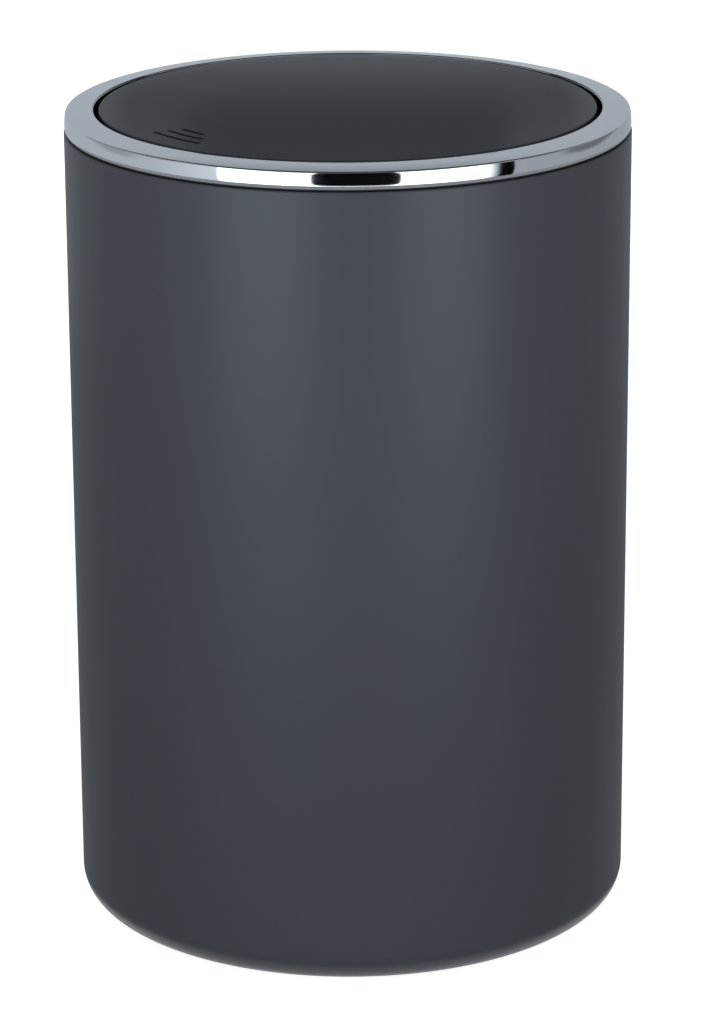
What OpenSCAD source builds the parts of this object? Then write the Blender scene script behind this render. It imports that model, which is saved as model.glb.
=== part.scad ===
// Round worktop bin with a push-to-tilt flap.
//
// A tall moulded body carries a lift-off lid. The lid is a frame that plugs into the body's
// mouth, with a bright trim ring screwed on top of it. Inside the ring hangs a round flap on
// two steel pins. A push on the grooves at its front edge tips the flap open, and a steel
// weight in its back half swings it shut against two soft stops.
//
// Z is up, the worktop is z = 0 and the body's axis is the Z axis.
// The hinge lies along X, and the push mark is at the front, towards -Y.

/* [Overall] */
// Height from the worktop to the inner edge of the trim ring
overall_h = 256; // [180:1:330]
// Outside diameter of the body at its rim
body_d = 174; // [140:1:230]

/* [Body] */
// Thickness of the body's wall
body_wall = 2.2; // [1.6:0.1:3]
// Thickness of the body's floor
body_floor = 2.6; // [1.8:0.1:4]
// How much smaller the body's radius is at its foot than at its rim
body_draft = 0.3; // [0:0.1:3]
// Outside radius of the corner between wall and foot
corner_r = 9; // [6:0.5:14]
// Rounding of the rim's outer edge
rim_round = 0.4; // [0.3:0.1:0.9]
// Lead-in chamfer at the mouth
mouth_chamfer = 0.5; // [0.2:0.1:0.8]
// How far the floor panel is raised above the foot ring
foot_ring_h = 1.6; // [1:0.1:3]
// Width of the foot ring's flat
foot_ring_w = 4.5; // [3:0.5:8]
// How far the foot ring's inner side slants
foot_ring_slant = 0.6; // [0.2:0.1:1]
// Chamfer of the foot ring's inner edge
foot_ring_chamfer = 0.4; // [0.2:0.1:0.8]

/* [Foot pads] */
// Diameter of a foot pad
pad_d = 14; // [10:1:20]
// How far a pad stands below the foot ring
pad_proud = 0.8; // [0.4:0.1:1.5]
// Distance from the body's outside to a pad's centre
pad_inset = 25; // [22:1:32]
// Wall of the moulded collar round a pad
pad_collar_w = 1.2; // [0.8:0.1:2]
// Depth of the collar
pad_collar_h = 1; // [0.6:0.1:1]
// Clearance between a pad and its collar
pad_clear = 0.15; // [0.05:0.05:0.4]
// Rounding of a pad's lower edge
pad_edge_r = 0.6; // [0.3:0.1:1]

/* [Trim ring] */
// Width of the ring's top face
ring_w = 9; // [8:0.1:14]
// Height of the ring's outer side
ring_side_h = 5.6; // [4:0.1:9]
// How much higher the ring's inner edge is than its outer edge
ring_rise = 1; // [0:0.1:2]
// How far the ring's side leans in at its top, in degrees
ring_side_lean = 9; // [3:1:14]
// Wall of the moulded ring
ring_wall = 1.5; // [1.2:0.1:1.8]
// How far the ring's side lies inside the body's side
ring_setback = 0.2; // [0:0.1:1]
// Rounding of the ring's two top edges
ring_edge_r = 0.5; // [0.2:0.1:0.8]
// Rounding of the side towards the ring's lower edge
ring_foot_r = 2.5; // [1:0.1:3]
// How far that rounding turns under, in degrees
ring_foot_turn = 40; // [20:5:60]
// Wall of a screw boss inside the ring
ring_boss_wall = 1.1; // [0.8:0.1:1.4]

/* [Lid frame] */
// Height of the dark seam between ring and body
seam_h = 0.4; // [0.3:0.1:1.5]
// How far the seam lies inside the ring's side
seam_setback = 0.8; // [0.2:0.1:0.8]
// Thickness of the flange under the ring
flange_h = 2; // [1.6:0.1:3]
// How far the flange's inner edge lies outside the ring's
flange_setback = 0.3; // [0:0.1:0.8]
// Clearance between the flange and the inside of the ring's side
flange_clear = 0.2; // [0.1:0.05:0.4]
// Depth of the skirt that plugs into the body
plug_h = 22; // [18:1:40]
// Wall of the skirt
plug_wall = 1.8; // [1.4:0.1:2.4]
// Clearance between the skirt and the body
plug_clear = 0.45; // [0.4:0.05:0.6]
// How far the skirt's foot is drawn in to guide it into the body
plug_lead = 0.6; // [0.3:0.1:1]
// Height of that lead-in
plug_lead_h = 1.5; // [0.5:0.1:3]
// Number of friction ribs round the skirt
grip_rib_count = 12; // [6:2:24]
// Width of a friction rib
grip_rib_w = 1.6; // [1:0.1:3]
// How far a friction rib stands out of the skirt
grip_rib_proud = 0.2; // [0.1:0.05:0.25]
// Distance from the skirt's foot to a friction rib's foot
grip_rib_foot = 3; // [2:0.5:8]
// Distance from the body's rim down to a friction rib's top
grip_rib_top = 1; // [0.5:0.5:5]

/* [Flap] */
// Gap between the flap and the ring
flap_gap = 1.5; // [1:0.1:2.5]
// How far the flap's edge lies below the ring's inner edge
flap_drop = 0.1; // [0:0.1:1.5]
// Rise of the flap's face from its edge to its centre
flap_crown = 0.1; // [0:0.05:0.3]
// Rounding of the flap's upper edge
flap_edge_r = 0.6; // [0.3:0.1:1]
// Thickness of the flap's skin
flap_skin = 2.4; // [1.8:0.1:3]
// Whole depth of the flap
flap_depth = 14; // [13:0.5:16]
// Depth of the skin's rim
flap_rim_h = 5; // [4.5:0.5:6]
// Thickness of the skin's rim
flap_rim_w = 1.8; // [1.4:0.1:2.4]
// Thickness of a stiffening rib under the skin
flap_rib_w = 1.2; // [0.8:0.1:1.8]
// Height of a stiffening rib
flap_rib_h = 1.6; // [1:0.1:2]
// Inside radius of the round rib in the middle
flap_rib_r = 12; // [8:1:18]
// Wall of the underside shell
shell_wall = 2; // [1.6:0.1:2.4]
// Outside radius of the underside shell's corner
shell_corner_r = 3.5; // [2:0.5:4]
// Clearance between the two halves of the flap
shell_clear = 0.15; // [0.1:0.05:0.3]
// Wall of the shell's tongue, which nests inside the skin's rim
tongue_wall = 1.6; // [1.2:0.1:2]

/* [Push mark] */
// Distance from the flap's edge to the outermost groove
mark_inset = 8.4; // [6:0.1:10]
// Distance from one groove to the next
mark_pitch = 4.5; // [3.5:0.1:6]
// Width of a groove
mark_w = 2; // [1:0.1:2.2]
// Depth of a groove
mark_deep = 0.7; // [0.3:0.1:0.9]
// Width of a groove's narrow end, as a share of its wide end
mark_taper = 0.7; // [0.2:0.1:1]

/* [Hinge] */
// Depth of the hinge axis below the flap's edge
axis_below = 10; // [9:0.5:11]
// Diameter of a pivot pin
pin_d = 3; // [2.5:0.1:4]
// Length of a pin inside the flap
pin_grip = 12; // [8:1:16]
// Chamfer of a pin's ends
pin_chamfer = 0.4; // [0.2:0.1:0.6]
// How far a pin's end lies inside its bush's
pin_setback = 1.5; // [0.5:0.1:2]
// Wall of the boss that holds a pin
trunnion_wall = 2.4; // [1.8:0.1:3]
// Plastic and room behind a pin's inner end
trunnion_end = 2; // [1:0.5:3]
// Wall of a pivot bush
bush_wall = 1.5; // [1:0.1:2]
// Thickness of a bush's collar
bush_collar_h = 0.8; // [0.6:0.1:0.8]
// How far a bush's collar stands out round the bush
bush_collar_w = 1.2; // [0.8:0.1:1.2]
// Gap between the flap's edge and a bush's collar
bush_gap = 0.5; // [0.4:0.1:0.7]
// How far a bush's end lies inside the skirt's outside
bush_setback = 0.4; // [0.2:0.1:0.8]
// Depth of the flat that is cut into the flap at each bush
flat_deep = 0.7; // [0.5:0.1:1]
// Radial running clearance of a pin in its bush
running_clear = 0.05; // [0.03:0.01:0.08]
// Half the width of a pivot housing
housing_half_w = 8; // [7:0.5:11]
// Wall of a pivot housing
housing_wall = 2; // [1.6:0.1:2.4]
// Plastic left between a pivot housing's core and the flange
core_roof = 0.4; // [0.2:0.1:1]
// How far a pivot housing reaches below the hinge axis
housing_drop = 15; // [14:0.5:16]
// How far the flap tilts
tilt_max = 75; // [60:1:80]
// Distance from the hinge axis to the nib that stops the open flap
nib_y = 9.5; // [9:0.5:11]
// Height of a nib
nib_h = 3; // [2:0.5:4]
// Width of a nib
nib_w = 3.5; // [2.5:0.5:4.5]
// How far a nib reaches in from its housing
nib_reach = 4; // [3:0.5:5]

/* [Stops] */
// Angle of a soft stop to either side of the back
stop_spread = 30; // [20:1:40]
// Diameter of a soft stop's cap
stop_d = 8; // [6:0.5:10]
// Height of a soft stop's cap
stop_cap_h = 1.5; // [1:0.1:2.5]
// Gap between the shut flap and a soft stop
stop_gap = 0.3; // [0.2:0.1:0.6]
// Thickness of a stop bracket
bracket_h = 2.4; // [2:0.1:3]
// Distance from the flap's edge to a soft stop's centre
stop_inset = 8; // [7:0.5:12]
// Diameter of the hole that a soft stop snaps into
stop_hole_d = 3; // [2.4:0.1:3.6]
// How far the stem's snap stands out round the hole
stop_snap = 0.6; // [0.3:0.1:0.8]
// Length of the snap below the bracket
stop_tip_h = 1.4; // [1:0.1:2]
// Rounding of a soft stop's cap
stop_cap_r = 0.7; // [0.3:0.1:0.9]
// Margin of a bracket round its soft stop
bracket_margin = 1.5; // [1:0.5:3]
// Thickness of the gusset under a bracket
gusset_w = 2; // [1.5:0.5:3]
// Distance from the skirt's foot to the gusset's foot
gusset_foot = 2; // [1:0.5:6]

/* [Counterweight] */
// Thickness of the steel counterweight
weight_h = 4; // [3:0.1:4]
// Width of the counterweight, measured along the flap's radius
weight_w = 24; // [16:1:26]
// Angle that the counterweight spans
weight_span = 96; // [60:2:100]
// Distance from the flap's edge to the counterweight
weight_inset = 15; // [14:0.5:18]
// Height of the posts that carry the counterweight
post_h = 1; // [0.5:0.1:2]
// Radius of those posts
post_r = 3.2; // [2.6:0.1:4]

/* [Screws] */
// Shank diameter of a trim screw
trim_screw_d = 2; // [1.8:0.1:2.2]
// Shank diameter of a flap screw
flap_screw_d = 2.4; // [2:0.1:2.6]
// Diameter of a trim screw's head
trim_head_d = 3.6; // [3:0.1:4]
// Height of a trim screw's head
trim_head_h = 1.3; // [1:0.1:1.6]
// Diameter of a flap screw's head
flap_head_d = 4.8; // [4:0.1:5.2]
// Height of a flap screw's head
flap_head_h = 0.9; // [0.7:0.1:0.9]
// Depth of a flap screw's counterbore
counterbore_h = 1; // [0.9:0.1:1.2]
// Radial clearance of a head in its counterbore
counterbore_clear = 0.3; // [0.2:0.05:0.4]
// Radial clearance of a screw in the part that it clamps
through_clear = 0.2; // [0.1:0.05:0.3]
// Wall of the flap's screw bosses
boss_wall = 1.9; // [1.5:0.1:2.4]
// Distance from the flap's edge to a flap screw
flap_screw_inset = 9.5; // [9:0.5:12]
// Angle of the first screw
screw_start = 30; // [30]
// Number of trim screws, and of flap screws
screw_count = 6; // [6]
// Clearance round a screw in its hole
screw_clear = 0.03; // [0.02:0.01:0.05]
// How far the weight screws bite into the shell's floor below their posts
weight_bite = 1; // [0.6:0.1:1.2]

/* [Hidden] */
$fn = 96;
// Sliver by which two touching bodies of one piece overlap.
eps = 0.01;
// How far a cutting body reaches past the surface that it cuts.
over = 1;
arc_steps = 8;
foot_pad_count = 4;
// Radial play of what is pressed into a hole.
press_clear = 0.02;
// How deep what is added to a wall is rooted in it.
root = 0.5;
// What is left open at the end of a screw or a pin.
end_gap = 0.4;
// Sides of the widest turned bodies.
wide_fn = 180;

body_r = body_d / 2;
foot_r = body_r - body_draft;
mouth_r = body_r - body_wall;
foot_z = pad_proud;
floor_z = foot_z + foot_ring_h + body_floor;
ring_outer_r = body_r - ring_setback;
ring_inner_r = ring_outer_r - ring_w;
ring_outer_z = overall_h - ring_rise;
ring_foot_z = ring_outer_z - ring_side_h;
rim_z = ring_foot_z - seam_h;
flange_z = rim_z + flange_h;
pad_r = body_r - pad_inset;

// The frame hangs inside the body's mouth and carries the ring.
flange_inner_r = ring_inner_r + flange_setback;
flange_outer_r = ring_outer_r - ring_wall - flange_clear;
seam_r = ring_outer_r - seam_setback;
plug_r = mouth_r - plug_clear;
plug_inner_r = plug_r - plug_wall;
plug_foot_z = rim_z - plug_h;
trim_screw_r = (flange_inner_r + plug_inner_r) / 2;

// The flap, its face measured at the edge.
flap_r = ring_inner_r - flap_gap;
face_z = overall_h - flap_drop;
flap_foot_z = face_z - flap_depth;
shell_top_z = face_z - flap_rim_h - shell_clear;
shell_floor_z = flap_foot_z + shell_wall;
shell_r = flap_r - shell_clear;
tongue_r = flap_r - flap_rim_w - shell_clear;
tongue_inner_r = tongue_r - tongue_wall;
axis_z = face_z - axis_below;
under_axis = flap_depth - axis_below;

// Along the hinge, outwards: flat on the flap, bush collar, housing, skirt.
flat_x = shell_r - flat_deep;
collar_x = flap_r + bush_gap;
housing_x = collar_x + bush_collar_h;
bush_end_x = plug_r - bush_setback;
pin_end_x = bush_end_x - pin_setback;
pin_start_x = flat_x - pin_grip;
flat_half_w = sqrt(shell_r * shell_r - flat_x * flat_x) + over;
bush_r = pin_d / 2 + running_clear + bush_wall;
collar_r = bush_r + bush_collar_w;

stop_r = flap_r - stop_inset;
bracket_top_z = flap_foot_z - stop_gap - stop_cap_h;
bracket_half_w = stop_d / 2 + bracket_margin;
// Housings and brackets reach half way into the skirt's wall.
skirt_mid_r = plug_inner_r + plug_wall / 2;

weight_outer_r = flap_r - weight_inset;
weight_inner_r = weight_outer_r - weight_w;
weight_screw_r = (weight_outer_r + weight_inner_r) / 2;
weight_screw_angles = [90 - weight_span / 3, 90 + weight_span / 3];
flap_screw_r = flap_r - flap_screw_inset;
boss_r = flap_screw_d / 2 + boss_wall;
screw_angles = [for (i = [0:screw_count - 1]) screw_start + i * 360 / screw_count];

// Grooves of the push mark, from the outermost: start and end angle.
mark_angles = [[-99.1, -80.8], [-98.7, -83.7], [-98.3, -87.5]];

// Proportions of a pan-head screw: its cross recess to the head's width and height,
// the head's rounding to its height, and the tip's length to the shank's width.
recess_length = 0.62;
recess_width = 0.16;
recess_depth = 0.55;
head_rounding = 0.6;
tip_length = 0.5;
tip_r = 0.1;

body_colour = "#484b52";
bright_colour = "#c9ced3";
black_colour = "#1d1f21";
steel_colour = "#9a9ea3";
rubber_colour = "#2b2c2e";
acetal_colour = "#3a3c3f";

// Points of an arc about [cx, cy], from angle a0 to a1.
function arc(cx, cy, r, a0, a1, n = arc_steps) =
    [for (i = [0:n]) let (a = a0 + (a1 - a0) * i / n) [cx + r * cos(a), cy + r * sin(a)]];

// Cylinder along +X from x0 to x1, at height z.
module rod_x(x0, x1, r, z = axis_z) {
    translate([x0, 0, z]) rotate([0, 90, 0]) cylinder(r = r, h = x1 - x0);
}

// Copies its children to the other end of the hinge.
module both_ends() {
    children();
    mirror([1, 0, 0]) children();
}

// Places its children at radius r, at each of the given angles.
module ring_of(r, angles) {
    for (a = angles) rotate([0, 0, a]) translate([r, 0, 0]) children();
}

// Pan-head screw: the head's seat is at z = 0, and the shank points up.
module pan_screw(d, length, head_d, head_h) {
    round_r = head_h * head_rounding;
    recess = [head_d * recess_length, head_d * recess_width, head_h * recess_depth];
    difference() {
        rotate_extrude() polygon(concat(
            [[0, -head_h], [head_d / 2 - round_r, -head_h]],
            arc(head_d / 2 - round_r, round_r - head_h, round_r, -90, 0, arc_steps / 2),
            [[head_d / 2, 0], [d / 2, 0], [d / 2, length - d * tip_length], [tip_r, length], [0, length]]
        ));
        for (turn = [0, 90]) rotate([0, 0, turn])
            translate([-recess[0] / 2, -recess[1] / 2, -head_h - eps]) cube(recess);
    }
}

// Body: a drafted tube with a rounded foot, a raised floor panel and collars for the pads.
module body() {
    inner_corner_r = corner_r - body_wall;
    ring_in = foot_r - corner_r - foot_ring_w;
    panel_z = foot_z + foot_ring_h;
    color(body_colour) union() {
        rotate_extrude($fn = wide_fn) polygon(concat(
            [[0, panel_z], [ring_in - foot_ring_slant, panel_z],
             [ring_in, foot_z + foot_ring_chamfer], [ring_in + foot_ring_chamfer, foot_z]],
            arc(foot_r - corner_r, foot_z + corner_r, corner_r, -90, 0, 12),
            arc(body_r - rim_round, rim_z - rim_round, rim_round, 0, 90),
            [[mouth_r + mouth_chamfer, rim_z], [mouth_r, rim_z - mouth_chamfer * 2]],
            arc(foot_r - body_wall - inner_corner_r, floor_z + inner_corner_r, inner_corner_r, 0, -90, 12),
            [[0, floor_z]]
        ));
        for (i = [1:foot_pad_count]) at_pad(i) pad_collar();
    }
}

// Moulded collar that keeps a foot pad in its place.
module pad_collar() {
    difference() {
        translate([0, 0, -pad_collar_h])
            cylinder(r = pad_d / 2 + pad_collar_w, h = pad_collar_h + body_floor / 2);
        translate([0, 0, -pad_collar_h - over])
            cylinder(r = pad_d / 2 + pad_clear, h = pad_collar_h + over);
    }
}

// Puts its children at pad i, with z = 0 on the underside of the floor panel.
module at_pad(i) {
    rotate([0, 0, 45 + (i - 1) * 360 / foot_pad_count])
        translate([pad_r, 0, foot_z + foot_ring_h]) children();
}

// Foot pad: a soft disc with a rounded lower edge.
module foot_pad(i) {
    pad_h = foot_z + foot_ring_h;
    color(rubber_colour) at_pad(i) rotate_extrude() polygon(concat(
        [[0, 0], [0, -pad_h]],
        arc(pad_d / 2 - pad_edge_r, pad_edge_r - pad_h, pad_edge_r, -90, 0),
        [[pad_d / 2, 0]]
    ));
}

// Lid frame: flange and plug skirt, with ribs, pivot housings and stop brackets.
module lid_frame() {
    color(black_colour) difference() {
        union() {
            rotate_extrude($fn = wide_fn) polygon([
                [flange_inner_r, rim_z], [plug_inner_r, rim_z], [plug_inner_r, plug_foot_z],
                [plug_r - plug_lead, plug_foot_z], [plug_r, plug_foot_z + plug_lead_h],
                [plug_r, rim_z], [seam_r, rim_z], [seam_r, ring_foot_z],
                [flange_outer_r, ring_foot_z], [flange_outer_r, flange_z],
                [flange_inner_r, flange_z]
            ]);
            grip_ribs();
            both_ends() pivot_housing();
            for (side = [-1, 1]) rotate([0, 0, 90 + side * stop_spread]) stop_bracket();
        }
        both_ends() pivot_core();
        both_ends() rod_x(housing_x - over, plug_r + over, bush_r + press_clear);
        translate([0, 0, rim_z - over]) ring_of(trim_screw_r, screw_angles)
            cylinder(d = trim_screw_d + 2 * screw_clear, h = flange_h + 2 * over);
        for (side = [-1, 1]) rotate([0, 0, 90 + side * stop_spread])
            translate([stop_r, 0, bracket_top_z - bracket_h - over])
                cylinder(d = stop_hole_d, h = bracket_h + 2 * over);
    }
}

// Low upright ribs that grip the inside of the body's mouth.
module grip_ribs() {
    foot_z = plug_foot_z + grip_rib_foot;
    for (i = [0:grip_rib_count - 1]) rotate([0, 0, (i + 0.5) * 360 / grip_rib_count])
        translate([plug_r - root, -grip_rib_w / 2, foot_z])
            cube([root + grip_rib_proud, grip_rib_w, rim_z - grip_rib_top - foot_z]);
}

// Pivot housing at the +X end, with the nib that stops the open flap.
module pivot_housing() {
    difference() {
        housing_block(housing_x, skirt_mid_r, housing_half_w, rim_z + flange_h / 2);
        // Nothing of the housing stands inside the flange's edge.
        translate([0, 0, rim_z]) cylinder(r = flange_inner_r, h = flange_h);
    }
    translate([0, 0, axis_z]) rotate([tilt_max, 0, 0])
        translate([housing_x - nib_reach, -nib_y - nib_w, -under_axis - stop_gap - nib_h])
            cube([nib_reach + housing_wall / 2, nib_w, nib_h]);
}

// What is cored out of a pivot housing from behind: all but its walls and the bush's boss.
module pivot_core() {
    half_w = housing_half_w - housing_wall;
    difference() {
        housing_block(housing_x + housing_wall, plug_r + over, half_w, rim_z - core_roof);
        rod_x(housing_x, plug_r + 2 * over, bush_r + housing_wall);
    }
}

// Upright block with a round foot, from x0 to x1 and up to top_z.
module housing_block(x0, x1, half_w, top_z) {
    foot_cz = axis_z - housing_drop + housing_half_w;
    translate([x0, 0, foot_cz]) rotate([90, 0, 90]) linear_extrude(x1 - x0) {
        translate([-half_w, 0]) square([2 * half_w, top_z - foot_cz]);
        circle(r = half_w);
    }
}

// Bracket along +X that carries a soft stop under the back of the flap.
module stop_bracket() {
    gusset_x = stop_r + bracket_half_w;
    gusset_foot_z = plug_foot_z + gusset_foot;
    gusset_top_z = bracket_top_z - bracket_h / 2;
    tip_z = bracket_top_z - bracket_h - gusset_w / 2;
    translate([stop_r, 0, bracket_top_z - bracket_h]) {
        cylinder(r = bracket_half_w, h = bracket_h);
        translate([0, -bracket_half_w, 0]) cube([skirt_mid_r - stop_r, 2 * bracket_half_w, bracket_h]);
    }
    translate([0, gusset_w / 2, 0]) rotate([90, 0, 0]) linear_extrude(gusset_w) polygon([
        [gusset_x, gusset_top_z], [gusset_x, tip_z], [plug_inner_r - gusset_w / 2, gusset_foot_z],
        [skirt_mid_r, gusset_foot_z], [skirt_mid_r, gusset_top_z]
    ]);
}

// Trim ring: an inverted channel whose top face falls a little outwards.
module trim_ring() {
    fall = atan(ring_rise / ring_w);
    // The side is an arc: upright above the foot's rounding, leaning in at the top edge's.
    lean = ring_side_lean;
    side_cz = ring_foot_z + ring_foot_r * sin(ring_foot_turn);
    edge_reach = (ring_outer_z - side_cz - ring_edge_r * (1 - sin(fall)) / cos(fall))
        / (sin(lean) - (1 - cos(lean)) * tan(fall));
    side_r = edge_reach + ring_edge_r;
    side_cr = ring_outer_r - side_r;
    inner_cz = overall_h - ring_edge_r * (1 + sin(fall)) / cos(fall);
    roof = ring_wall / cos(fall);
    outer_in = ring_outer_r - ring_wall;
    inner_in = ring_inner_r + ring_wall;
    roof_z = ring_outer_z + ring_wall * tan(fall) - roof;
    boss_top_z = roof_z + ring_wall / 2;
    hole_top_z = roof_z + ring_wall / 8;
    color(bright_colour) difference() {
        union() {
            rotate_extrude($fn = wide_fn) polygon(concat(
                [[outer_in, ring_foot_z]],
                arc(ring_outer_r - ring_foot_r, side_cz, ring_foot_r, -ring_foot_turn, 0),
                arc(side_cr, side_cz, side_r, 0, lean),
                arc(side_cr + edge_reach * cos(lean), side_cz + edge_reach * sin(lean), ring_edge_r,
                    lean, 90 - fall),
                arc(ring_inner_r + ring_edge_r, inner_cz, ring_edge_r, 90 - fall, 180),
                [[ring_inner_r, flange_z], [inner_in, flange_z],
                 [inner_in, overall_h - ring_wall * tan(fall) - roof], [outer_in, roof_z]]
            ));
            translate([0, 0, flange_z]) ring_of(trim_screw_r, screw_angles)
                cylinder(r = trim_screw_d / 2 + ring_boss_wall, h = boss_top_z - flange_z);
        }
        translate([0, 0, flange_z - over]) ring_of(trim_screw_r, screw_angles)
            cylinder(d = trim_screw_d + 2 * screw_clear, h = hole_top_z - flange_z + over);
    }
}

// The screws that draw the trim ring down onto the frame.
module trim_screws() {
    length = ring_outer_z - ring_wall - rim_z - end_gap;
    color(steel_colour) translate([0, 0, rim_z]) ring_of(trim_screw_r, screw_angles)
        pan_screw(trim_screw_d, length, trim_head_d, trim_head_h);
}

// Flanged acetal bush at the +X end.
module pivot_bush() {
    color(acetal_colour) difference() {
        union() {
            rod_x(collar_x, housing_x, collar_r);
            rod_x(housing_x - eps, bush_end_x, bush_r);
        }
        rod_x(collar_x - over, bush_end_x + over, pin_d / 2 + running_clear);
    }
}

// Steel dowel at the +X end, chamfered at both ends.
module pivot_pin() {
    r = pin_d / 2;
    end_r = r - pin_chamfer;
    length = pin_end_x - pin_start_x;
    color(steel_colour) translate([pin_start_x, 0, axis_z]) rotate([0, 90, 0]) rotate_extrude() polygon([
        [0, 0], [end_r, 0], [r, pin_chamfer], [r, length - pin_chamfer], [end_r, length], [0, length]
    ]);
}

// Soft stop: a domed cap with a stem that snaps through its bracket.
module stop_pad(side) {
    stem_r = stop_hole_d / 2 - 2 * press_clear;
    snap_r = stop_hole_d / 2 + stop_snap;
    snap_z = -bracket_h - 2 * press_clear;
    tip_z = -bracket_h - stop_tip_h;
    color(rubber_colour) rotate([0, 0, 90 + side * stop_spread]) translate([stop_r, 0, bracket_top_z])
        rotate_extrude() polygon(concat(
            [[0, tip_z], [snap_r / 2, tip_z], [snap_r, snap_z - stop_tip_h / 3], [snap_r, snap_z],
             [stem_r, snap_z], [stem_r, 0]],
            arc(stop_d / 2 - stop_cap_r, stop_cap_h - stop_cap_r, stop_cap_r, 0, 90),
            [[0, stop_cap_h]]
        ));
}

// Flap skin: a slightly crowned disc with a rim, screw bosses, ribs and the push mark.
module flap_top() {
    roof_z = face_z - flap_skin;
    boss_z = shell_floor_z + shell_clear;
    crown_steps = 10;
    edge_start_r = flap_r - flap_edge_r;
    color(body_colour) difference() {
        union() {
            rotate_extrude($fn = wide_fn) polygon(concat(
                [[0, roof_z], [flap_r - flap_rim_w, roof_z], [flap_r - flap_rim_w, face_z - flap_rim_h]],
                [[flap_r, face_z - flap_rim_h]],
                arc(edge_start_r, face_z - flap_edge_r, flap_edge_r, 0, 90),
                [for (i = [1:crown_steps]) let (u = 1 - i / crown_steps)
                    [edge_start_r * u, face_z + flap_crown * (1 - u * u)]]
            ));
            translate([0, 0, boss_z]) ring_of(flap_screw_r, screw_angles)
                cylinder(r = boss_r, h = roof_z + root - boss_z);
            flap_ribs(roof_z);
        }
        translate([0, 0, boss_z - over]) ring_of(flap_screw_r, screw_angles)
            cylinder(d = flap_screw_d + 2 * screw_clear, h = roof_z - boss_z + over);
        for (i = [0:len(mark_angles) - 1])
            mark_groove(flap_r - mark_inset - i * mark_pitch, mark_angles[i]);
    }
}

// Ribs under the flap's skin: one round its middle, and one from there to each screw boss.
module flap_ribs(roof_z) {
    translate([0, 0, roof_z - flap_rib_h]) {
        for (a = screw_angles) rotate([0, 0, a]) translate([flap_rib_r, -flap_rib_w / 2, 0])
            cube([flap_screw_r - flap_rib_r, flap_rib_w, flap_rib_h + root]);
        difference() {
            cylinder(r = flap_rib_r + flap_rib_w, h = flap_rib_h + root);
            translate([0, 0, -over]) cylinder(r = flap_rib_r, h = flap_rib_h + root + 2 * over);
        }
    }
}

// One groove of the push mark: it follows the flap's edge, widens and has round ends.
module mark_groove(r, angles) {
    steps = 16;
    outer_r = r + mark_w / 2;
    first_r = mark_w * mark_taper / 2;
    last_r = mark_w / 2;
    // The round ends lie inside the two angles.
    first_a = angles[0] + first_r / outer_r * 180 / PI;
    last_a = angles[1] - last_r / outer_r * 180 / PI;
    span = last_a - first_a;
    translate([0, 0, face_z - mark_deep]) linear_extrude(mark_deep + flap_crown + over) polygon(concat(
        [for (i = [1:steps - 1]) let (a = first_a + span * i / steps) outer_r * [cos(a), sin(a)]],
        groove_end(outer_r, last_r, last_a, 0),
        [for (i = [steps - 1:-1:1]) let (a = first_a + span * i / steps)
            let (w = 2 * (first_r + (last_r - first_r) * i / steps)) (outer_r - w) * [cos(a), sin(a)]],
        groove_end(outer_r, first_r, first_a, 180)
    ));
}

// Half circle that ends a groove at angle a, from direction t to its opposite.
function groove_end(outer_r, end_r, a, t) =
    arc((outer_r - end_r) * cos(a), (outer_r - end_r) * sin(a), end_r, a + t, a + t + 180);

// Underside shell of the flap: a dish with a tongue that nests inside the skin's rim.
module flap_base() {
    tongue_top_z = face_z - flap_skin - shell_clear;
    weight_hole_h = weight_bite + end_gap / 2;
    color(black_colour) difference() {
        union() {
            rotate_extrude($fn = wide_fn) polygon(concat(
                [[0, flap_foot_z]],
                arc(shell_r - shell_corner_r, flap_foot_z + shell_corner_r, shell_corner_r, -90, 0),
                [[shell_r, shell_top_z], [tongue_r, shell_top_z], [tongue_r, tongue_top_z],
                 [tongue_inner_r, tongue_top_z], [tongue_inner_r, shell_floor_z], [0, shell_floor_z]]
            ));
            intersection() {
                both_ends() trunnion();
                translate([0, 0, flap_foot_z]) cylinder(r = tongue_r, h = shell_top_z - flap_foot_z);
            }
            translate([0, 0, shell_floor_z - eps]) ring_of(weight_screw_r, weight_screw_angles)
                cylinder(r = post_r, h = post_h);
        }
        // Flats that face the bushes.
        both_ends() translate([flat_x, -flat_half_w, flap_foot_z - over])
            cube([flat_deep + over, 2 * flat_half_w, shell_top_z - flap_foot_z + over]);
        both_ends() rod_x(pin_start_x - end_gap, shell_r + over, pin_d / 2 + press_clear);
        translate([0, 0, flap_foot_z - over]) ring_of(flap_screw_r, screw_angles) {
            cylinder(d = flap_screw_d + 2 * through_clear, h = shell_wall + 2 * over);
            cylinder(d = flap_head_d + 2 * counterbore_clear, h = counterbore_h + over);
        }
        translate([0, 0, shell_floor_z - weight_hole_h]) ring_of(weight_screw_r, weight_screw_angles)
            cylinder(d = trim_screw_d + 2 * screw_clear, h = weight_hole_h + post_h + over);
    }
}

// Boss inside the flap that holds the pin at the +X end.
module trunnion() {
    half_w = pin_d / 2 + trunnion_wall;
    start_x = pin_start_x - trunnion_end;
    foot_z = shell_floor_z - root;
    rod_x(start_x, tongue_r, half_w);
    translate([start_x, -half_w, foot_z]) cube([tongue_r - start_x, 2 * half_w, axis_z - foot_z]);
}

// Screws that hold the two halves of the flap together, seated in counterbores.
module flap_screws() {
    seat_z = flap_foot_z + counterbore_h;
    color(steel_colour) translate([0, 0, seat_z]) ring_of(flap_screw_r, screw_angles)
        pan_screw(flap_screw_d, face_z - flap_skin - seat_z - end_gap, flap_head_d, flap_head_h);
}

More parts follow.
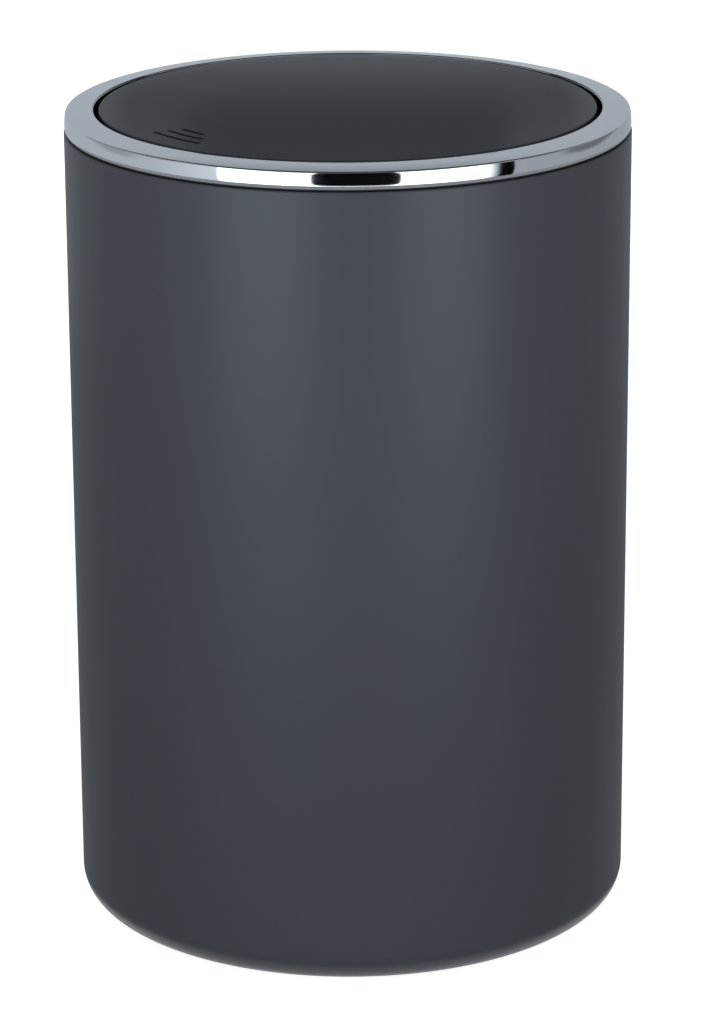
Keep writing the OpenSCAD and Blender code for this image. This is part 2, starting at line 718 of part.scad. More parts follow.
// Counterweight: a sector of steel plate in the back of the flap.
module counterweight() {
    plate_z = shell_floor_z + post_h;
    color(steel_colour) difference() {
        rotate([0, 0, 90 - weight_span / 2]) translate([0, 0, plate_z])
            rotate_extrude(angle = weight_span, $fn = wide_fn)
                translate([weight_inner_r, 0]) square([weight_w, weight_h]);
        translate([0, 0, plate_z - over]) ring_of(weight_screw_r, weight_screw_angles)
            cylinder(d = trim_screw_d + 2 * through_clear, h = weight_h + 2 * over);
    }
}

// Screws that clamp the counterweight to its posts.
module weight_screws() {
    plate_top_z = shell_floor_z + post_h + weight_h;
    length = weight_h + post_h + weight_bite;
    color(steel_colour) translate([0, 0, plate_top_z]) ring_of(weight_screw_r, weight_screw_angles)
        rotate([180, 0, 0]) pan_screw(trim_screw_d, length, trim_head_d, trim_head_h);
}

body();
foot_pad(1);  // foot_pad_1
foot_pad(2);  // foot_pad_2
foot_pad(3);  // foot_pad_3
foot_pad(4);  // foot_pad_4
lid_frame();
trim_ring();
trim_screws();
mirror([1, 0, 0]) pivot_bush();  // pivot_bush_left
pivot_bush();  // pivot_bush_right
stop_pad(1);  // stop_pad_left
stop_pad(-1);  // stop_pad_right
flap_top();
flap_base();
flap_screws();
counterweight();
weight_screws();
mirror([1, 0, 0]) pivot_pin();  // pivot_pin_left
pivot_pin();  // pivot_pin_right
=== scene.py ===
"""Looks of a round worktop bin with a push-to-tilt flap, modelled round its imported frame.

The CAD nodes keep their place and shape. The three shells that show most, the body, the
trim ring and the flap's skin, are modelled again with finer faces. Every piece gets a finish
named for its real material. Sizes are millimetres, and places come from the frame.
"""
import logging
import math
from dataclasses import dataclass
from enum import Enum
from functools import cache
from typing import Callable, Iterable, Sequence

import bmesh
import bpy
from mathutils import Matrix, Vector


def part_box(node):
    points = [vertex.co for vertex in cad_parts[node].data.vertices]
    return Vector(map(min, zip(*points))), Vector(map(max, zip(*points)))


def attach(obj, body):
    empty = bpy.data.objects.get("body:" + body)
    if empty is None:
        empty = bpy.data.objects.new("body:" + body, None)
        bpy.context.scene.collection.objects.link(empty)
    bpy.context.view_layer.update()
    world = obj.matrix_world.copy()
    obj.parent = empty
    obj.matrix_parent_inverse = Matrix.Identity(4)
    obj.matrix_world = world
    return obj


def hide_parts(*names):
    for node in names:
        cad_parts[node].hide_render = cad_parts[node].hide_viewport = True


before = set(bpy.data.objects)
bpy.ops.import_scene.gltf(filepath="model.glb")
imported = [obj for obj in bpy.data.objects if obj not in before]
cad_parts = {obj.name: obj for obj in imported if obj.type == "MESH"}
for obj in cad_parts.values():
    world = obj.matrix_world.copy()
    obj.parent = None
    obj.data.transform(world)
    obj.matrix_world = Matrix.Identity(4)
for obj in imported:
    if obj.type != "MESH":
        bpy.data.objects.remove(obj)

log = logging.getLogger("bin")

MM = 0.001
TURN_STEPS = 256
# Faces round a screw boss, a pad's collar and the flap's round rib.
BOSS_STEPS, COLLAR_STEPS, RIB_STEPS = 32, 64, 96
# How far a welded-on piece reaches into the piece that carries it, in millimetres.
BITE = 0.5
WELD_DISTANCE = 1e-6
# A swept corner is looked for within this distance of its place.
FIND_DISTANCE = 10 * WELD_DISTANCE
SMOOTH_ANGLE = math.radians(32)


# --------------------------------------------------------------------------------------
# Modelling by hand: an outline is drawn point by point, rounded, and turned on the axis
# --------------------------------------------------------------------------------------


@dataclass(frozen=True)
class Corner:
    """A corner of an outline, in millimetres.

    Attributes:
        r: Distance from the axis.
        z: Height.
        round: Radius of the corner's rounding, 0 where it stays sharp.
        steps: Segments of the rounding.
    """

    r: float
    z: float
    round: float = 0.0
    steps: int = 8


class Boolean(Enum):
    """How a tool body acts on the piece it meets."""

    WELD = "UNION"
    CUT = "DIFFERENCE"


def deselect_all() -> None:
    """Leaves object mode with nothing selected, so that an operator acts on one piece."""
    if bpy.context.mode != "OBJECT":
        bpy.ops.object.mode_set(mode="OBJECT")
    bpy.ops.object.select_all(action="DESELECT")


def pick(piece: bpy.types.Object) -> None:
    """Selects one piece and makes it the active one.

    Args:
        piece: The piece.
    """
    deselect_all()
    piece.select_set(True)
    bpy.context.view_layer.objects.active = piece


def apply_place(piece: bpy.types.Object) -> None:
    """Puts the piece's place into its mesh, and its object back at the origin."""
    pick(piece)
    bpy.ops.object.transform_apply(location=True, rotation=True, scale=True)


def select_verts(piece: bpy.types.Object, test: Callable[[Vector], bool]) -> None:
    """Selects, in edit mode, the vertices whose place passes the test.

    Args:
        piece: The piece that is being edited.
        test: Says of a place whether it is meant.
    """
    mesh = bmesh.from_edit_mesh(piece.data)
    for vert in mesh.verts:
        vert.select = test(vert.co)
    mesh.select_flush_mode()
    bmesh.update_edit_mesh(piece.data)


def arc(cr: float, cz: float, radius: float, start: float, end: float, steps: int) -> list[Corner]:
    """Points along an arc of an outline.

    Args:
        cr: The centre's distance from the axis.
        cz: The centre's height.
        radius: Radius of the arc.
        start: First angle in degrees, from the outward direction towards up.
        end: Last angle in degrees.
        steps: Number of segments.

    Returns:
        The points in order, both ends included.
    """
    angles = [math.radians(start + (end - start) * i / steps) for i in range(steps + 1)]
    return [Corner(cr + radius * math.cos(a), cz + radius * math.sin(a)) for a in angles]


def draw_outline(name: str, outline: Sequence[Corner], closed: bool) -> bpy.types.Object:
    """Draws an outline in the XZ plane, edge by edge, and rounds its corners.

    Args:
        name: Name of the new piece.
        outline: The corners in order.
        closed: Whether an edge joins the last corner to the first.

    Returns:
        The piece, left in edit mode.
    """
    deselect_all()
    start = Vector((outline[0].r * MM, 0, outline[0].z * MM))
    bpy.ops.mesh.primitive_plane_add(size=MM, location=start)
    piece = bpy.context.object
    piece.name = name
    apply_place(piece)
    bpy.ops.object.mode_set(mode="EDIT")
    bpy.ops.mesh.merge(type="CENTER")
    for here, there in zip(outline, outline[1:]):
        step = Vector(((there.r - here.r) * MM, 0, (there.z - here.z) * MM))
        bpy.ops.mesh.extrude_region_move(TRANSFORM_OT_translate={"value": step})
    if closed:
        ends = [Vector((c.r * MM, 0, c.z * MM)) for c in (outline[0], outline[-1])]
        select_verts(piece, lambda co: min((co - end).length for end in ends) < WELD_DISTANCE)
        bpy.ops.mesh.edge_face_add()
    for i, corner in enumerate(outline):
        if corner.round > 0:
            round_corner(piece, outline[i - 1], corner, outline[(i + 1) % len(outline)])
    return piece


def round_corner(piece: bpy.types.Object, before: Corner, corner: Corner, after: Corner) -> None:
    """Rounds one corner of an outline that is being drawn.

    Args:
        piece: The piece, in edit mode.
        before: The corner before it.
        corner: The corner to round.
        after: The corner after it.
    """
    into = Vector((corner.r - before.r, corner.z - before.z))
    out = Vector((after.r - corner.r, after.z - corner.z))
    reach = corner.round * math.tan(into.angle(out) / 2)
    place = Vector((corner.r * MM, 0, corner.z * MM))
    select_verts(piece, lambda co: (co - place).length < WELD_DISTANCE)
    bpy.ops.mesh.bevel(affect="VERTICES", offset=reach * MM, segments=corner.steps, profile=0.5,
                       clamp_overlap=False)


def turn(name: str, outline: Sequence[Corner], closed: bool = False,
         steps: int = TURN_STEPS) -> bpy.types.Object:
    """Turns an outline round the Z axis into a solid, as on a lathe.

    Args:
        name: Name of the new piece.
        outline: The corners in order. An outline that isn't closed starts and ends on the axis.
        closed: Whether the last corner joins the first.
        steps: Number of faces round the axis.

    Returns:
        The solid, with its seam and poles closed and its faces outwards.
    """
    piece = draw_outline(name, outline, closed)
    sweep(math.tau, steps)
    close_up()
    bpy.ops.object.mode_set(mode="OBJECT")
    return piece


def sweep(angle: float, steps: int) -> None:
    """Sweeps what is selected anticlockwise about the Z axis; the operator itself turns clockwise."""
    bpy.ops.mesh.select_all(action="SELECT")
    bpy.ops.mesh.spin(steps=steps, angle=-angle, center=(0, 0, 0), axis=(0, 0, 1))


def close_up() -> None:
    """Merges doubled vertices of the piece in edit mode and turns its faces outwards."""
    bpy.ops.mesh.select_all(action="SELECT")
    bpy.ops.mesh.remove_doubles(threshold=WELD_DISTANCE)
    bpy.ops.mesh.dissolve_degenerate(threshold=WELD_DISTANCE)
    bpy.ops.mesh.select_all(action="SELECT")
    bpy.ops.mesh.normals_make_consistent(inside=False)


def copies_round(piece: bpy.types.Object, radius: float, angles: Iterable[float]) -> bpy.types.Object:
    """Copies a piece to places on a circle round the axis and joins the copies.

    Args:
        piece: The piece, modelled on the axis. It is used up.
        radius: Radius of the circle in millimetres.
        angles: Angle of each place in degrees.

    Returns:
        One piece that holds every copy.
    """
    copies = []
    for angle in angles:
        pick(piece)
        bpy.ops.object.duplicate(linked=False)
        copy = bpy.context.object
        turned = Matrix.Rotation(math.radians(angle), 4, "Z")
        copy.matrix_world = turned @ Matrix.Translation((radius * MM, 0, 0))
        apply_place(copy)
        copies.append(copy)
    bpy.data.objects.remove(piece)
    return join(copies)


def join(pieces: Sequence[bpy.types.Object]) -> bpy.types.Object:
    """Joins pieces into one.

    Args:
        pieces: The pieces.

    Returns:
        The first of them, which now holds them all.
    """
    deselect_all()
    for piece in pieces:
        piece.select_set(True)
    bpy.context.view_layer.objects.active = pieces[0]
    bpy.ops.object.join()
    return pieces[0]


def combine(piece: bpy.types.Object, tool: bpy.types.Object, how: Boolean) -> None:
    """Welds a tool body to a piece, or cuts it out, and removes the tool body.

    Args:
        piece: The piece.
        tool: The tool body.
        how: Whether it is welded on or cut out.
    """
    modifier = piece.modifiers.new(how.name.lower(), "BOOLEAN")
    modifier.operation = how.value
    modifier.solver = "EXACT"
    modifier.object = tool
    pick(piece)
    bpy.ops.object.modifier_apply(modifier=modifier.name)
    bpy.data.objects.remove(tool)


def smooth(piece: bpy.types.Object) -> None:
    """Shades a piece smooth, apart from its true edges."""
    pick(piece)
    bpy.ops.object.shade_smooth_by_angle(angle=SMOOTH_ANGLE)


# --------------------------------------------------------------------------------------
# Finishes
# --------------------------------------------------------------------------------------


def linear(hex_colour: str) -> tuple[float, float, float, float]:
    """Turns an sRGB hex colour into Blender's linear colour."""
    channels = [int(hex_colour[i:i + 2], 16) / 255 for i in (1, 3, 5)]
    return (*[c / 12.92 if c <= 0.04045 else ((c + 0.055) / 1.055) ** 2.4 for c in channels], 1.0)


def per_metre(size_mm: float) -> float:
    """Scale that gives a pattern features of this many millimetres on Object coordinates."""
    return 1 / (size_mm * MM)


def add_node(tree: bpy.types.NodeTree, kind: str, inputs: dict | None = None,
             **settings: object) -> bpy.types.Node:
    """Adds a node with its settings, values and links.

    Args:
        tree: The node tree.
        kind: The node's type name.
        inputs: Input name to a value, or to the output socket that feeds it.
        settings: The node's own properties.

    Returns:
        The node.
    """
    node = tree.nodes.new(kind)
    for key, value in settings.items():
        setattr(node, key, value)
    for key, value in (inputs or {}).items():
        if isinstance(value, bpy.types.NodeSocket):
            tree.links.new(value, node.inputs[key])
        else:
            node.inputs[key].default_value = value
    return node


@dataclass(frozen=True)
class Finish:
    """What every finish has: a colour, a gloss and a fine relief.

    Attributes:
        name: Name of the material.
        colour: sRGB colour of the surface.
        tint: sRGB colour that the surface drifts to in soft, wide clouds.
        cloud: Width of those clouds in millimetres.
        gloss: Least and greatest roughness.
        grain: Width of the relief's grain in millimetres.
        relief: Height of the relief in millimetres.
        metallic: 1 for a metal or a metal plating.
        specular: Specular level, where 0.5 is the usual gloss of its IOR.
        stretch: How much longer the grain is than wide, along X, Y and Z.
    """

    name: str
    colour: str
    tint: str
    cloud: float
    gloss: tuple[float, float]
    grain: float
    relief: float
    metallic: float = 0.0
    specular: float = 0.5
    stretch: tuple[float, float, float] = (1.0, 1.0, 1.0)

    def material(self) -> bpy.types.Material:
        """Builds the material.

        Returns:
            The material, with its clouds, gloss and relief on Object coordinates.
        """
        material = bpy.data.materials.new(self.name)
        material.use_nodes = True
        tree = material.node_tree
        shader = tree.nodes["Principled BSDF"]
        place = add_node(tree, "ShaderNodeTexCoord").outputs["Object"]
        clouds = add_node(tree, "ShaderNodeTexNoise", {
            "Vector": place, "Scale": per_metre(self.cloud), "Detail": 2.0})
        drift = add_node(tree, "ShaderNodeMix", {"Factor": clouds.outputs["Fac"]}, data_type="RGBA")
        drift.inputs["A"].default_value = linear(self.colour)
        drift.inputs["B"].default_value = linear(self.tint)
        laid = add_node(tree, "ShaderNodeMapping", {"Vector": place, "Scale": [1 / s for s in self.stretch]})
        grain = add_node(tree, "ShaderNodeTexNoise", {
            "Vector": laid.outputs["Vector"], "Scale": per_metre(self.grain), "Detail": 3.0})
        gloss = add_node(tree, "ShaderNodeMapRange", {
            "Value": grain.outputs["Fac"], "From Min": 0.3, "From Max": 0.7,
            "To Min": self.gloss[0], "To Max": self.gloss[1]})
        bump = add_node(tree, "ShaderNodeBump", {
            "Height": grain.outputs["Fac"], "Strength": 1.0, "Distance": self.relief * MM})
        tree.links.new(drift.outputs["Result"], shader.inputs["Base Color"])
        tree.links.new(gloss.outputs["Result"], shader.inputs["Roughness"])
        tree.links.new(bump.outputs["Normal"], shader.inputs["Normal"])
        shader.inputs["Metallic"].default_value = self.metallic
        shader.inputs["Specular IOR Level"].default_value = self.specular
        return material


# Injection-moulded ABS, dyed through, from a mould with a fine spark-eroded texture: an even,
# slightly soft sheen. The real grain is about 0.05 mm, drawn at 0.4 mm so that it shows.
BODY_ABS = Finish("moulded_anthracite_abs", "#3f4349", "#42464c", 60, (0.34, 0.39), 0.4, 0.002, specular=0.27)
# The same plastic on the flap, from a mould with a finer texture: smoother, and a little duller. Its colour
# is darker than the body's as painted shade on the flap's upward face, not as a darker plastic.
FLAP_ABS_PAINTED_SHADE = Finish("moulded_anthracite_abs_flap_painted_shade", "#2a2f36", "#2d3239", 50, (0.30, 0.36), 0.4, 0.002,
                  specular=0.18)
# Polypropylene, moulded black and left as it comes. It only shows in gaps, and its colour is its own black
# made darker still, as painted shade in those gaps.
BLACK_PP_AND_GAP_SHADE = Finish("moulded_black_polypropylene_and_gap_shade", "#08090a", "#0b0c0d", 40, (0.5, 0.62), 0.5, 0.004,
                  specular=0.1)
# Chromium plated over polished ABS: a mirror with the faint swell of the moulding under it.
CHROME = Finish("chromium_plated_abs", "#e1e0df", "#e3e2e1", 30, (0.05, 0.07), 9.0, 0.004, metallic=1.0)
# Zinc-plated and passivated steel: dull silver with a slight blue cloudiness.
ZINC = Finish("zinc_plated_steel", "#9fa3a6", "#b0b3b2", 4, (0.28, 0.4), 0.3, 0.004, metallic=1.0)
# Ground and polished steel rod, with the grinding running round it.
GROUND_STEEL = Finish("ground_steel_pin", "#c2c3c4", "#cbcccc", 8, (0.16, 0.26), 0.12, 0.001,
                      metallic=1.0, stretch=(0.2, 4.0, 4.0))
# Acetal, moulded, with the waxy half-gloss it wears to in a bearing.
ACETAL = Finish("moulded_grey_acetal", "#3a3c3f", "#3f4144", 6, (0.3, 0.38), 0.3, 0.002)
# Thermoplastic elastomer: a soft, dry, nearly matt skin.
ELASTOMER = Finish("moulded_black_elastomer", "#2b2c2e", "#303133", 5, (0.75, 0.88), 0.35, 0.02)


def dress(name: str, finish: Finish) -> None:
    """Gives a carried-over CAD node its finish.

    Args:
        name: Name of the node.
        finish: Its finish.
    """
    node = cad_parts[name]
    material = material_of(finish)
    for slot in node.material_slots:
        slot.material = material
    log.info("%s: %s", name, finish.name)


@cache
def material_of(finish: Finish) -> bpy.types.Material:
    """The finish's material, built the first time it is asked for."""
    return finish.material()


def place_piece(piece: bpy.types.Object, finish: Finish, body: str, node: str) -> None:
    """Finishes a new piece and ties it to the frame.

    Args:
        piece: The piece.
        finish: Its finish.
        body: The body it rides on.
        node: The CAD node it stands for.
    """
    smooth(piece)
    piece.data.materials.clear()
    piece.data.materials.append(material_of(finish))
    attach(piece, body)
    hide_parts(node)
    log.info("%s: %d faces, %s", piece.name, len(piece.data.polygons), finish.name)


# --------------------------------------------------------------------------------------
# Sub-assemblies
# --------------------------------------------------------------------------------------


@dataclass
class Bucket:
    """The tall moulded body and its four soft feet.

    Sizes are in millimetres. The sides draw in by draft from rim to foot. The body stands on a ring,
    ring_flat wide, that lifts its bottom panel by ring_height, and a collar under the panel holds
    each pad.
    """

    wall: float = 2.2
    floor: float = 2.6
    draft: float = 0.3
    foot_round: float = 9.0
    rim_round: float = 0.4
    chamfer: float = 0.5
    ring_height: float = 1.6
    ring_flat: float = 4.5
    ring_bevel: float = 0.4
    ring_slope: float = 0.6
    pad_across: float = 14.0
    pad_play: float = 0.15
    pad_collar: float = 1.2
    collar_depth: float = 1.0
    collar_bite: float = 1.0
    pad_circle: float = 62.0
    pad_angles: tuple[float, ...] = (45, 135, 225, 315)

    def build(self) -> None:
        """Models the body and dresses the feet."""
        place_piece(self.shell(), BODY_ABS, "bin", "body")
        for i in range(len(self.pad_angles)):
            dress(f"foot_pad_{i + 1}", ELASTOMER)

    def shell(self) -> bpy.types.Object:
        """Turns the body's wall, floor and foot, and welds the pads' collars on.

        Returns:
            The body.
        """
        low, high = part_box("body")
        rim_r, rim_z, foot_z = high.x / MM, high.z / MM, low.z / MM
        foot_r = rim_r - self.draft
        panel_z = foot_z + self.ring_height
        floor_z = panel_z + self.floor
        ring_in = foot_r - self.foot_round - self.ring_flat
        mouth_r = rim_r - self.wall
        shell = turn("body_shell", [
            Corner(0, panel_z),
            Corner(ring_in - self.ring_slope, panel_z),
            Corner(ring_in, foot_z + self.ring_bevel),
            Corner(ring_in + self.ring_bevel, foot_z),
            Corner(foot_r, foot_z, self.foot_round, 16),
            Corner(rim_r, rim_z, self.rim_round),
            Corner(mouth_r + self.chamfer, rim_z),
            Corner(mouth_r, rim_z - 2 * self.chamfer),
            Corner(foot_r - self.wall, floor_z, self.foot_round - self.wall, 12),
            Corner(0, floor_z),
        ])
        inner_r = self.pad_across / 2 + self.pad_play
        outer_r = self.pad_across / 2 + self.pad_collar
        collar = turn("pad_collars", [
            Corner(inner_r, panel_z - self.collar_depth),
            Corner(outer_r, panel_z - self.collar_depth),
            Corner(outer_r, panel_z + self.collar_bite),
            Corner(inner_r, panel_z + self.collar_bite),
        ], closed=True, steps=COLLAR_STEPS)
        combine(shell, copies_round(collar, self.pad_circle, self.pad_angles), Boolean.WELD)
        return shell


@dataclass
class Rim:
    """The lid's frame with its bright trim ring, bushes, soft stops and screws.

    Sizes are in millimetres, and lean and foot_turn in degrees. The ring's top falls outwards by rise
    over its width. Its side leans in by lean at the top edge and turns under by foot_turn at the foot.
    """

    width: float = 9.0
    rise: float = 1.0
    lean: float = 9.0
    wall: float = 1.5
    edge_round: float = 0.5
    foot_round: float = 2.5
    foot_turn: float = 40.0
    flange: float = 2.0
    seam: float = 0.4
    boss_across: float = 4.2
    hole_across: float = 2.06
    boss_circle: float = 80.325
    boss_angles: tuple[float, ...] = (30, 90, 150, 210, 270, 330)

    def build(self) -> None:
        """Models the ring and dresses the rest of the lid."""
        place_piece(self.ring(), CHROME, "lid", "trim_ring")
        dress("lid_frame", BLACK_PP_AND_GAP_SHADE)
        dress("trim_screws", ZINC)
        for side in ("left", "right"):
            dress(f"pivot_bush_{side}", ACETAL)
            dress(f"stop_pad_{side}", ELASTOMER)

    def ring(self) -> bpy.types.Object:
        """Turns the ring's inverted channel and welds its screw bosses in.

        Returns:
            The trim ring.
        """
        low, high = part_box("trim_ring")
        fall = math.atan(self.rise / self.width)
        slope, spread = math.tan(fall), math.cos(fall)
        # The box ends at the rounding, a little below the inner edge's sharp corner.
        rounded_off = self.edge_round * ((1 + math.sin(fall)) / spread - 1)
        outer_r, foot_z, top_z = high.x / MM, low.z / MM, high.z / MM + rounded_off
        inner_r = outer_r - self.width
        edge_z = top_z - self.rise
        flange_z = foot_z - self.seam + self.flange
        # The side is an arc: upright above the foot's rounding, leaning in at the top edge's.
        lean = math.radians(self.lean)
        side_z = foot_z + self.foot_round * math.sin(math.radians(self.foot_turn))
        reach = (edge_z - side_z - self.edge_round * (1 - math.sin(fall)) / spread) / (
            math.sin(lean) - (1 - math.cos(lean)) * slope)
        side_r = reach + self.edge_round
        centre_r = outer_r - side_r
        inner_z = top_z - self.edge_round * (1 + math.sin(fall)) / spread
        roof = self.wall / spread
        roof_z = edge_z + self.wall * slope - roof
        top_turn = 90 - math.degrees(fall)
        ring = turn("trim_ring_shell", [
            Corner(outer_r - self.wall, foot_z),
            *arc(outer_r - self.foot_round, side_z, self.foot_round, -self.foot_turn, 0, 10)[:-1],
            *arc(centre_r, side_z, side_r, 0, self.lean, 10)[:-1],
            *arc(centre_r + reach * math.cos(lean), side_z + reach * math.sin(lean), self.edge_round,
                 self.lean, top_turn, 10),
            *arc(inner_r + self.edge_round, inner_z, self.edge_round, top_turn, 180, 10),
            Corner(inner_r, flange_z),
            Corner(inner_r + self.wall, flange_z),
            Corner(inner_r + self.wall, top_z - self.wall * slope - roof),
            Corner(outer_r - self.wall, roof_z),
        ], closed=True)
        boss_z, hole_z = roof_z + self.wall / 2, roof_z + self.wall / 8
        boss = turn("trim_ring_bosses", [
            Corner(self.hole_across / 2, flange_z),
            Corner(self.boss_across / 2, flange_z),
            Corner(self.boss_across / 2, boss_z),
            Corner(0, boss_z),
            Corner(0, hole_z),
            Corner(self.hole_across / 2, hole_z),
        ], closed=True, steps=BOSS_STEPS)
        combine(ring, copies_round(boss, self.boss_circle, self.boss_angles), Boolean.WELD)
        return ring


@dataclass
class Flap:
    """The tilting flap: skin, underside shell, pins, weight and screws.

    Sizes are in millimetres, and angles in degrees. The face is domed by crown. The push mark's
    grooves lie mark_inset inside the edge and mark_pitch apart, and their narrow ends are mark_taper
    times as wide as their wide ends.
    """

    skin: float = 2.4
    rim_height: float = 5.0
    rim_wall: float = 1.8
    crown: float = 0.1
    edge_round: float = 0.6
    boss_across: float = 6.2
    hole_across: float = 2.46
    boss_inset: float = 9.5
    boss_angles: tuple[float, ...] = (30, 90, 150, 210, 270, 330)
    rib: float = 1.2
    rib_height: float = 1.6
    rib_circle: float = 12.0
    mark_inset: float = 8.4
    mark_pitch: float = 4.5
    mark_width: float = 2.0
    mark_depth: float = 0.7
    mark_taper: float = 0.7
    mark_steps: int = 8
    crown_steps: int = 10
    mark_angles: tuple[tuple[float, float], ...] = ((-99.1, -80.8), (-98.7, -83.7), (-98.3, -87.5))

    def build(self) -> None:
        """Models the skin and dresses the rest of the flap."""
        place_piece(self.top(), FLAP_ABS_PAINTED_SHADE, "flap", "flap_top")
        dress("flap_base", BLACK_PP_AND_GAP_SHADE)
        for name in ("flap_screws", "weight_screws", "counterweight"):
            dress(name, ZINC)
        for side in ("left", "right"):
            dress(f"pivot_pin_{side}", GROUND_STEEL)

    def top(self) -> bpy.types.Object:
        """Turns the crowned skin, welds bosses and ribs under it and cuts the push mark.

        Returns:
            The flap's skin.
        """
        low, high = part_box("flap_top")
        radius, face_z = high.x / MM, high.z / MM - self.crown
        roof_z = face_z - self.skin
        boss_z = low.z / MM
        edge_r = radius - self.edge_round
        crown = [Corner(edge_r * u, face_z + self.crown * (1 - u * u))
                 for u in (1 - i / self.crown_steps for i in range(1, self.crown_steps + 1))]
        top = turn("flap_skin", [
            Corner(0, roof_z),
            Corner(radius - self.rim_wall, roof_z),
            Corner(radius - self.rim_wall, face_z - self.rim_height),
            Corner(radius, face_z - self.rim_height),
            *arc(edge_r, face_z - self.edge_round, self.edge_round, 0, 90, 10),
            *crown,
        ])
        boss = turn("flap_bosses", [
            Corner(self.hole_across / 2, boss_z),
            Corner(self.boss_across / 2, boss_z),
            Corner(self.boss_across / 2, roof_z + BITE),
            Corner(self.hole_across / 2, roof_z + BITE),
        ], closed=True, steps=BOSS_STEPS)
        combine(top, copies_round(boss, radius - self.boss_inset, self.boss_angles), Boolean.WELD)
        combine(top, self.rib_ring(roof_z), Boolean.WELD)
        combine(top, self.ribs(radius - self.boss_inset, roof_z), Boolean.WELD)
        for i, angles in enumerate(self.mark_angles):
            groove_r = radius - self.mark_inset - i * self.mark_pitch
            combine(top, self.groove(groove_r, face_z, angles), Boolean.CUT)
        return top

    def rib_ring(self, roof_z: float) -> bpy.types.Object:
        """Turns the round rib under the middle of the skin.

        Args:
            roof_z: Height of the skin's underside.

        Returns:
            The rib, as a tool body.
        """
        inner, outer = self.rib_circle, self.rib_circle + self.rib
        foot, top = roof_z - self.rib_height, roof_z + BITE
        outline = [Corner(inner, foot), Corner(outer, foot), Corner(outer, top), Corner(inner, top)]
        return turn("flap_rib", outline, closed=True, steps=RIB_STEPS)

    def ribs(self, boss_r: float, roof_z: float) -> bpy.types.Object:
        """Models the straight ribs that run from the round rib to the bosses.

        Args:
            boss_r: Radius of the circle of bosses, in millimetres.
            roof_z: Height of the skin's underside.

        Returns:
            The ribs, as one tool body.
        """
        start, length = self.rib_circle + self.rib / 2, boss_r - self.boss_across / 4 - self.rib_circle
        middle = ((start + length / 2) * MM, 0, (roof_z - self.rib_height) * MM)
        deselect_all()
        bpy.ops.mesh.primitive_plane_add(size=MM, location=middle)
        rib = bpy.context.object
        rib.scale = (length, self.rib, 1)
        apply_place(rib)
        bpy.ops.object.mode_set(mode="EDIT")
        bpy.ops.mesh.select_all(action="SELECT")
        height = (self.rib_height + BITE) * MM
        bpy.ops.mesh.extrude_region_move(TRANSFORM_OT_translate={"value": (0, 0, height)})
        close_up()
        bpy.ops.object.mode_set(mode="OBJECT")
        return copies_round(rib, 0, self.boss_angles)

    def groove(self, radius: float, face_z: float, angles: tuple[float, float]) -> bpy.types.Object:
        """Models the tool body that cuts one groove of the push mark.

        Args:
            radius: Radius of the groove's middle at its wide end, in millimetres.
            face_z: Height of the flap's edge.
            angles: The groove's narrow and wide end, in degrees.

        Returns:
            The tool body: a strip that follows the flap's edge, widens and has round ends.
        """
        outer = radius + self.mark_width / 2
        start, end = (math.radians(a) for a in angles)
        deselect_all()
        bpy.ops.mesh.primitive_plane_add(size=MM, location=(outer * MM, 0, (face_z - self.mark_depth) * MM))
        piece = bpy.context.object
        piece.name = "push_mark_groove"
        apply_place(piece)
        bpy.ops.object.mode_set(mode="EDIT")
        bpy.ops.mesh.merge(type="CENTER")
        bpy.ops.mesh.extrude_region_move(TRANSFORM_OT_translate={"value": (-self.mark_width * MM, 0, 0)})
        sweep(end - start, self.mark_steps)
        for i in range(self.mark_steps):
            away = self.towards((end - start) * i / self.mark_steps)
            inner_end = away * (outer - self.mark_width) * MM
            select_verts(piece, lambda co: (Vector((co.x, co.y, 0)) - inner_end).length < FIND_DISTANCE)
            narrowing = self.mark_width * (1 - self.mark_taper) * (1 - i / self.mark_steps)
            bpy.ops.transform.translate(value=away * narrowing * MM)
        for spun, width in ((0, self.mark_width * self.mark_taper), (end - start, self.mark_width)):
            self.round_end(piece, self.towards(spun), outer, width)
        bpy.ops.mesh.select_all(action="SELECT")
        height = self.mark_depth + self.crown + 1
        bpy.ops.mesh.extrude_region_move(TRANSFORM_OT_translate={"value": (0, 0, height * MM)})
        close_up()
        bpy.ops.object.mode_set(mode="OBJECT")
        piece.matrix_world = Matrix.Rotation(start, 4, "Z")
        apply_place(piece)
        return piece

    @staticmethod
    def towards(angle: float) -> Vector:
        """The level direction at this angle from the X axis."""
        return Vector((math.cos(angle), math.sin(angle), 0))

    @staticmethod
    def round_end(piece: bpy.types.Object, away: Vector, outer: float, width: float) -> None:
        """Rounds one end of a groove's strip, as a round cutter leaves it.

        Args:
            piece: The strip, in edit mode.
            away: Direction of that end from the axis.
            outer: Radius of the strip's outer side, in millimetres.
            width: The strip's width there.
        """
        corners = [away * radius * MM for radius in (outer, outer - width)]
        select_verts(piece, lambda co: min(
            (Vector((co.x, co.y, 0)) - corner).length for corner in corners) < FIND_DISTANCE)
        # A little under half the width, so that the two roundings don't meet in one point.
        bpy.ops.mesh.bevel(affect="VERTICES", offset=0.49 * width * MM, segments=6, profile=0.5,
                           clamp_overlap=False)


# --------------------------------------------------------------------------------------
# Studio
# --------------------------------------------------------------------------------------


# The slightly cool white of the studio's cards, flags and tent.
DAYLIGHT = "#e9f4ff"
# A full turn in degrees.
FULL_TURN = 360


